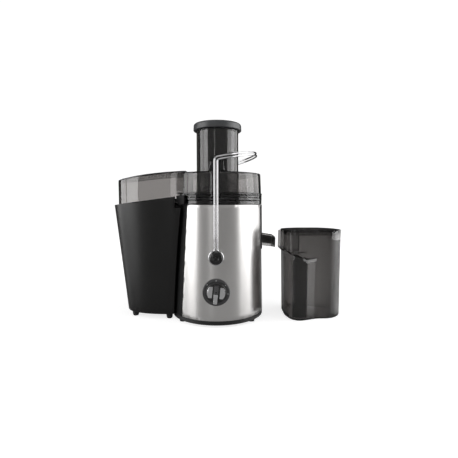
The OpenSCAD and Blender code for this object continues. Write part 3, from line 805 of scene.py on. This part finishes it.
def build_pusher():
    low, high = span("pusher")
    r, wall = high.x, 2.2
    plunger = lathe("plunger", rounded([
        (0, low.z, 0), (r, low.z, 3), (r, high.z, 0.4), (r - wall, high.z, 0.4), (r - wall, low.z + wall, 2),
        (0, low.z + wall, 0)], 5), 128, closed=False)
    dress(plunger, "satin_black", "plunger", ["pusher"])
    low, high = span("pusher_cap")
    r = high.x
    cap = lathe("cap", rounded([
        (0, low.z + 0.6, 0), (TUBE_R + 1.4, low.z + 0.6, 0.4), (TUBE_R + 1.9, low.z, 0.4),
        (r - 1.2, low.z, 0.7), (r, low.z + 1.3, 1.0), (r - 0.7, high.z - 0.7, 4.2), (r - 9, high.z, 3),
        (r - 11, high.z - 0.7, 2), (0, high.z - 0.9, 0)], 7), 144, closed=False)
    dress(cap, "cap_grey", "plunger", ["pusher_cap"])


# ------------------------------------------------------------------ locking arm

arm_low, arm_high = span("locking_arm")
WIRE_R = 1.5
WIRE_HALF_PITCH = 2.45
RING_R = 12.4
PIVOT_Z = arm_low.z + RING_R + WIRE_R
ARM_Y = arm_high.y - WIRE_R
ARM_CORNER_Z = 300
LOOP_R = 93.3
LOOP_CENTRE = 15.4
LOOP_TILT = math.radians(12.6)


def curve(a, corner, b, shares):
    """Points of a smooth corner from a to b, at these shares of the way."""
    return [(1 - t) ** 2 * a + 2 * t * (1 - t) * corner + t * t * b for t in shares]


def bend(before, corner, after, reach, steps=7):
    """Points that round a wire's corner, starting and ending a short reach from it."""
    p, a, b = Vector(corner), Vector(before), Vector(after)
    start = p + (a - p).normalized() * reach
    end = p + (b - p).normalized() * reach
    return curve(start, p, end, [k / steps for k in range(steps + 1)])


def loop_point(angle, shift):
    """A point of the loop, in a plane that rises towards the right; shift lifts one wire above the other."""
    u, v = LOOP_R * math.cos(angle) - LOOP_CENTRE, LOOP_R * math.sin(angle)
    return Vector((u * math.cos(LOOP_TILT) - shift * math.sin(LOOP_TILT), v,
                   ARM_CORNER_Z + u * math.sin(LOOP_TILT) + shift * math.cos(LOOP_TILT)))


def half_arm(shift, reach):
    """One of the two wires, from the front ring up, round the loop and down to the rear ring."""
    x = -shift
    foot_z = PIVOT_Z + math.sqrt(RING_R ** 2 - x * x)
    half_angle = math.acos((LOOP_CENTRE + x) / LOOP_R)
    loop = [loop_point(-half_angle + 2 * half_angle * k / 72, shift) for k in range(73)]
    clear = reach * 1.15
    inner = [p for p in loop if (p - loop[0]).length > clear and (p - loop[-1]).length > clear]
    front_top, rear_top = Vector((x, *loop[0].yz)), Vector((x, *loop[-1].yz))
    front_foot, rear_foot = Vector((x, -ARM_Y, foot_z + 3.2)), Vector((x, ARM_Y, foot_z + 3.2))
    path = [front_foot.lerp(front_top, k / 12) for k in range(12)]
    path += bend(front_foot, front_top, inner[0], reach) + inner
    path += bend(inner[-1], rear_top, rear_foot, reach)
    return path + [rear_top.lerp(rear_foot, k / 12) for k in range(1, 13)]


def ring_path(y, start_x):
    """Round the hub, from the leg at start_x, under it, to the other leg."""
    gap = math.asin(WIRE_HALF_PITCH / RING_R) + 0.24
    first = math.pi / 2 - gap if start_x > 0 else math.pi / 2 + gap
    turn = (2 * math.pi - 2 * gap) * (-1 if start_x > 0 else 1)
    angles = [first + turn * k / 44 for k in range(45)]
    return [Vector((RING_R * math.cos(a), y, PIVOT_Z + RING_R * math.sin(a))) for a in angles]


def join_to_ring(leg, ring_end, y):
    """The small bend where a leg turns into its ring."""
    corner = Vector((leg.x, y, PIVOT_Z + math.sqrt(RING_R ** 2 - leg.x ** 2) - 0.15))
    return curve(leg, corner, ring_end, [k / 6 for k in range(1, 6)])


def build_arm():
    upper, lower = half_arm(WIRE_HALF_PITCH, 6.0), half_arm(-WIRE_HALF_PITCH, 3.4)
    rear = ring_path(ARM_Y, -1)
    front = ring_path(-ARM_Y, 1)
    path = upper + join_to_ring(upper[-1], rear[0], ARM_Y) + rear
    path += join_to_ring(lower[-1], rear[-1], ARM_Y)[::-1] + lower[::-1]
    path += join_to_ring(lower[0], front[0], -ARM_Y) + front
    path += join_to_ring(upper[0], front[-1], -ARM_Y)[::-1]
    wire = sweep("arm_wire", path, WIRE_R)
    dress(wire, "chrome", "arm", ["locking_arm"])


def build_hubs():
    """Black caps that turn on the pivot pins, each with a dimple."""
    r = span("arm_hubs")[1].x
    start = 89          # how far from the spindle the hubs begin
    profile = rounded([
        (5.05, 0, 0.2), (r - 1.4, 0, 0.4), (r - 1.4, 2.0, 0.8), (r - 1.4, 4.3, 0.8), (r, 4.9, 0.6),
        (r, 6.2, 0.8), (r - 2.4, 7.8, 2.2), (5.2, 8.3, 0.9), (3.4, 7.2, 1.6)], 4)
    profile += [(0, 7.0), (0, 5.3), (5.05, 5.3)]
    for name, facing, nodes in (("hub_front", -1, ["arm_hubs"]), ("hub_rear", 1, [])):
        hub = lathe(name, profile, 72, "Y", (0, facing * start, PIVOT_Z), facing=facing)
        dress(hub, "gloss_black", "arm", nodes)


# ------------------------------------------------------------------ dial and knob

DIAL_R = span("dial_plate")[1].x
DIAL_Z = (span("dial_plate")[0].z + span("dial_plate")[1].z) / 2
DIAL_FACE = 90.6
KNOB_FACE = 96
KNOB_LEAN = 6


def on_dial(radius, turn):
    """A point on the dial's face; turn is clockwise from the top, in degrees."""
    a = math.radians(turn)
    return radius * math.sin(a), DIAL_Z + radius * math.cos(a)


def build_dial():
    dial = lathe("dial", rounded([
        (9, 88.7, 0), (20, 87.0, 0), (DIAL_R - 0.3, 84.6, 0), (DIAL_R, DIAL_FACE - 0.6, 0.7),
        (DIAL_R - 0.9, DIAL_FACE + 0.5, 0.5), (DIAL_R - 1.9, DIAL_FACE + 0.5, 0.4),
        (DIAL_R - 2.3, DIAL_FACE, 0.2), (19.6, DIAL_FACE, 0.2), (19.2, DIAL_FACE - 0.6, 0.2),
        (9, DIAL_FACE - 0.6, 0)], 4), 128, "Y", (0, 0, DIAL_Z))
    dress(dial, "dial_grey", "juicer", ["dial_plate"])
    marks = []
    for turn, size in ((0, 0.9), (-49, 0.8), (97, 0.8)):
        x, z = on_dial(21.1, turn)
        marks.append(lathe(f"mark_{turn}", rounded([(0, DIAL_FACE - 0.2, 0), (size, DIAL_FACE - 0.2, 0),
                                                   (size, DIAL_FACE + 0.1, 0.05), (0, DIAL_FACE + 0.1, 0)]),
                           20, "Y", (x, 0, z)))
    outline = [on_dial(r, 52 + t) for r, t in ((20.2, -0.8), (22.0, -0.8), (22.0, 0.8), (20.2, 0.8))]
    marks.append(prism("mark_tick", outline, -DIAL_FACE - 0.1, -DIAL_FACE + 0.2))
    for mark in marks:
        dress(mark, "print_white", "juicer")


def tilted(points):
    """Turns points in X and Z round the knob's axis, clockwise by its lean."""
    cos, sin = math.cos(math.radians(KNOB_LEAN)), math.sin(math.radians(KNOB_LEAN))
    return [(x * cos + z * sin, DIAL_Z - x * sin + z * cos) for x, z in points]


def half_moon(side):
    """Outline of the bright inlay beside the grip."""
    r, inner, low, high = 16.0, 6.6, -9.6, 10.6
    ends = math.degrees(math.asin(low / r)), math.degrees(math.asin(high / r))
    outline = arc(0, 0, r, *ends, 18) + [(inner, high), (inner, low)]
    return tilted([(side * x, z) for x, z in outline])


def grip_bar(half, low, high, low_r, high_r):
    """Outline of a bar along the grip, with its lower and upper corners rounded."""
    corners = [(-half, low, low_r), (half, low, low_r), (half, high, high_r), (-half, high, high_r)]
    return tilted(rounded(corners, 5))


def build_knob():
    r = 18.5
    knob = lathe("knob_disc", rounded([
        (0, 91.2, 0), (r - 0.2, 91.2, 0.3), (r, KNOB_FACE - 1.6, 1.2), (r - 1.6, KNOB_FACE, 1.4),
        (0, KNOB_FACE, 0)], 5), 112, "Y", (0, 0, DIAL_Z))
    stem = lathe("knob_stem", rounded([(0, 80, 0), (7.6, 80, 0.5), (7.6, 92, 0), (0, 92, 0)]), 48, "Y",
                 (0, 0, DIAL_Z))
    bar = prism("knob_grip", grip_bar(4.3, -19.4, 14.6, 2.2, 1.6), -101.0, -KNOB_FACE + 1, "XZ", 0.9)
    combine(knob, [stem, bar], "UNION", 30)
    dress(knob, "satin_black", "knob", ["speed_knob"])
    for name, side, nodes in (("inlay_left", -1, ["knob_inserts"]), ("inlay_right", 1, [])):
        inlay = prism(name, half_moon(side), -KNOB_FACE - 0.45, -KNOB_FACE + 0.4, "XZ", 0.3)
        dress(inlay, "chrome", "knob", nodes)
    strip = prism("grip_strip", grip_bar(3.5, -18.6, -1.4, 1.7, 0.5), -101.5, -100.6, "XZ", 0.35)
    dress(strip, "chrome", "knob")
    # Painted reflection: the chrome grip's upper half is a plate in the dial's grey, for the darker reflection
    # it shows there
    painted_reflection_plate = prism("grip_painted_reflection", grip_bar(3.5, -0.9, 13.8, 0.5, 1.2), -101.3, -100.6, "XZ", 0.3)
    dress(painted_reflection_plate, "dial_grey", "knob")
    x, z = tilted([(0, 2.6)])[0]
    dot = lathe("grip_dot", rounded([(0, 101.1, 0), (1.3, 101.1, 0), (1.3, 101.6, 0.2), (0, 101.4, 0)]), 24,
                "Y", (x, 0, z))
    dress(dot, "gloss_black", "knob")


build_steel_shell()
build_collector()
build_spout()
build_lid()
build_hood()
build_feed_tube()
build_catches()
build_pusher()
build_arm()
build_hubs()
build_dial()
build_knob()


# ------------------------------------------------------------------ pulp bin

BIN_FLOOR_Z = span("pulp_bin")[0].z
BIN_RIM_Z = 242         # where its full width and reach are measured; the seam cuts it lower
BIN_WALL_TOP = 214
BIN_GAP_R = 90.6
BIN_END, BIN_CORNER, BIN_HOLLOW = 84, 5, 22     # steps of its oval end, its corners and its hollow


def curve_between(a, corner, b, steps):
    """Points of a smooth corner between two points, without its last one."""
    out = []
    for k in range(steps):
        t = k / steps
        out.append(tuple((1 - t) ** 2 * p + 2 * t * (1 - t) * c + t * t * q for p, c, q in zip(a, corner, b)))
    return out


def bin_outline(z, inset=0.0):
    """The bin's plan at one height: front wall, oval end, rear wall, then the hollow beside the body."""
    t = (z - BIN_FLOOR_Z) / (BIN_RIM_Z - BIN_FLOOR_Z)
    half, left = 43.5 + 26 * t - inset, -180 - 25 * t + inset
    gap_r = BIN_GAP_R + inset
    corner_x = -math.sqrt(gap_r ** 2 - half ** 2)
    turn = math.degrees(math.asin(half / gap_r)) - 3.4
    hollow = arc(0, 0, gap_r, 180 - turn, 180 + turn, BIN_HOLLOW)
    end = oval_end(corner_x, corner_x - left, half, BIN_END)[2:-2]
    points = end + curve_between(end[-1], (corner_x, half), hollow[0], BIN_CORNER)[1:]
    points += hollow
    points += curve_between(hollow[-1], (corner_x, -half), end[0], BIN_CORNER)[1:]
    return points


def build_bin():
    """An open tub: the wall beside the body stops lower than the others."""
    rows, fillet = [], 4.0
    for k in range(6):
        a = math.pi / 2 * k / 6
        rows.append((BIN_FLOOR_Z + fillet * (1 - math.cos(a)), fillet * (1 - math.sin(a))))
    rows += [(BIN_FLOOR_Z + fillet + (BIN_WALL_TOP - BIN_FLOOR_Z - fillet) * k / 16, 0) for k in range(17)]
    rings = [[(x, y, z) for x, y in bin_outline(z, inset)] for z, inset in rows]
    n = len(rings[0])
    open_count = BIN_END - 3
    points, faces = skin(rings, caps=False)
    faces.append(tuple(range(n)))
    previous = list(range(len(points) - n, len(points) - n + open_count))
    for k in range(1, 5):
        current = []
        for i in range(open_count):
            z = BIN_WALL_TOP + (seam_z(rings[-1][i][0]) - BIN_WALL_TOP) * k / 4
            current.append(len(points))
            points.append((*bin_outline(z)[i], z))
        faces += [(previous[i], previous[i + 1], current[i + 1], current[i]) for i in range(open_count - 1)]
        previous = current
    tub = new_object("bin_tub", points, faces)
    thicken(tub, 2.2)
    soften(tub, 0.5, 2, 60)
    apply_modifiers(tub).set_sharp_from_angle(angle=math.radians(50))
    dress(tub, "bin_black", "bin", ["pulp_bin"])
    high = span("bin_feet")[1]
    spots = [(-163, -16), (-163, 16), (-93, -33), (-93, 33)]
    foot_r = high.y - spots[-1][1]
    for i, (x, y) in enumerate(spots):
        foot = lathe(f"bin_foot_{i}", rounded([
            (0, 0, 0), (foot_r - 1.6, 0, 1.2), (foot_r - 0.6, 3, 0.8), (foot_r, high.z, 0.4),
            (0, high.z, 0)], 4), 40, "Z", (x, y, 0))
        dress(foot, "rubber", "bin", ["bin_feet"] if i == 0 else [])


# ------------------------------------------------------------------ jug

JUG_RIM_Z = span("jug")[1].z
JUG_LEFT, JUG_RIGHT = 129.0, 244.0
JUG_HALF = 41.0
JUG_FILLET = 3.4
JUG_LEFT_R, JUG_RIGHT_R = 26.0, 37.0


def smooth_step(t):
    t = min(max(t, 0.0), 1.0)
    return t * t * (3 - 2 * t)


def between(x, stops):
    """Interpolates smoothly between (x, value) stops."""
    for (x0, v0), (x1, v1) in zip(stops, stops[1:]):
        if x <= x1:
            return v0 + (v1 - v0) * smooth_step((x - x0) / (x1 - x0))
    return stops[-1][1]


def grip_depth(x):
    """How far the jug's side swells out below the grip's ledge."""
    return between(x, [(JUG_LEFT, 0), (146, 12.5), (154, 13.5), (200, 0), (244, 0)])


def ledge_z(x):
    return between(x, [(JUG_LEFT, 134), (148, 124), (171, 117.5), (192, 119.5), (230, 122)])


def jug_outline(z, inset=0.0, grip=0.0):
    """The jug's plan at one height, from the left wall's rear end round the front; grip swells its sides."""
    t = 1 - z / JUG_RIM_Z
    rl, rr = JUG_LEFT_R - inset * 0.5, JUG_RIGHT_R - inset * 0.5
    x0, x1, half = JUG_LEFT + 3.2 * t + inset, JUG_RIGHT - inset, JUG_HALF - 0.5 * t - inset
    cl, cr = x0 + rl, x1 - rr
    stops = [cl + (166 - cl) * k / 4 for k in range(1, 4)] + [166 + k for k in range(11)]
    stops += [176 + (cr - 176) * k / 12 for k in range(1, 12)]
    front = arc(cl, -half + rl, rl, 180, 270, 24) + [(x, -half) for x in stops]
    front += arc(cr, -half + rr, rr, 270, 360, 14)
    left = [(x0, -half + rl + 2 * (half - rl) * k / 6) for k in range(5, 0, -1)]
    right = [(x1, -half + rr + 2 * (half - rr) * k / 6) for k in range(1, 6)]
    points = left + front + right + [(x, -y) for x, y in reversed(front)]
    swell = [grip * grip_depth(x) * smooth_step((abs(y) - 16) / 14) for x, y in points]
    return [(x, y + math.copysign(out, y)) for (x, y), out in zip(points, swell)]


def jug_row(share, above, inset):
    """One row of the jug's wall: below the ledge, or above it, by its share of the way up."""
    row = []
    for i, (x, _) in enumerate(jug_outline(JUG_RIM_Z, inset)):
        ledge = ledge_z(x) - inset
        low, high = (ledge + 0.6, JUG_RIM_Z) if above else (JUG_FILLET, ledge - 0.6)
        z = low + (high - low) * share
        row.append((*jug_outline(z, inset, 0 if above else 1)[i], z))
    return row


def jug_wall(inset, floor):
    """Rows of one face of the jug's wall, from its floor to its rim."""
    turns = [math.pi / 2 * k / 6 for k in range(6)]
    rows = [[(x, y, floor + (JUG_FILLET - floor) * (1 - math.cos(a))) for x, y in
             jug_outline(floor, inset + JUG_FILLET * (1 - math.sin(a)), 1)] for a in turns]
    rows += [jug_row(k / 14, False, inset) for k in range(15)]
    return rows + [jug_row(k / 7, True, inset) for k in range(8)]


def build_jug():
    points, faces = skin(jug_wall(0, 0) + jug_wall(CLEAR_WALL, CLEAR_WALL)[::-1])
    jug = new_object("jug_body", points, faces, 32)
    soften(jug, 0.4, 2, 60)
    apply_modifiers(jug)
    notch = rounded([(-18.3, 132.4, 4), (18.3, 132.4, 4), (18.3, 190, 0), (-18.3, 190, 0)], 5)
    combine(jug, [prism("notch", notch, 110, 134, "YZ")], "DIFFERENCE", 40)
    side = rounded([(123.2, 130, 4.5), (130.0, 130, 0.5), (130.0, JUG_RIM_Z, 0.5), (124.2, JUG_RIM_Z, 1.5)], 6)
    collar = prism("jug_collar", side, -20.5, 20.5, "XZ", 0.8)
    combine(collar, [prism("hollow", notch, 110, 140, "YZ")], "DIFFERENCE", 40)
    guide = prism("jug_guide", rounded([(147, 1, 0.5), (173, 1, 0.5), (173, 117, 1), (147, 124, 1)], 3),
                  -38.0, -34.3, "XZ", 0.3)
    dress(collar, "smoke_beak", "jug")
    dress(guide, "smoke_guide", "jug")
    dress(jug, "smoke_jug", "jug", ["jug"])


def build_jug_lid():
    """A shallow dome with a thin rounded edge, and a skirt that drops inside the rim."""
    middle = (JUG_LEFT + JUG_RIGHT) / 2
    edge_z = JUG_RIM_Z + 0.3

    def ring(inset, scale, z):
        outline = jug_outline(JUG_RIM_Z, inset)
        return [(middle + (x - middle) * scale, y * scale, z) for x, y in outline]

    shrink = [0.06, 0.25, 0.45, 0.62, 0.76, 0.87, 0.94]
    dome = 2.8
    rings = [ring(4.8, s, edge_z + 0.2 + dome * (1 - s * s)) for s in shrink]
    rings += [ring(4.8, 1, edge_z + 0.2), ring(4.8, 1, edge_z - 6.4), ring(4.5, 1, edge_z - 7.0),
              ring(3.1, 1, edge_z - 7.0), ring(2.8, 1, edge_z - 6.4), ring(2.6, 1, edge_z)]
    rings += [ring(-0.4, 1, edge_z), ring(-0.8, 1, edge_z + 0.3), ring(-0.8, 1, edge_z + 1.4),
              ring(-0.3, 1, edge_z + 2.0)]
    rings += [ring(0, s, edge_z + 2.2 + dome * (1 - s * s)) for s in reversed(shrink)]
    points, faces = skin(rings)
    lid = new_object("jug_lid_dome", points, faces, 30)
    dress(lid, "smoke_jug_lid", "jug_cover", ["jug_lid"])


# The motor housing gets its black plastic darkened as painted shade
frame["nodes"]["motor_housing"].material_slots[0].material = MATERIALS["housing_black"]
build_bin()
build_jug()
build_jug_lid()
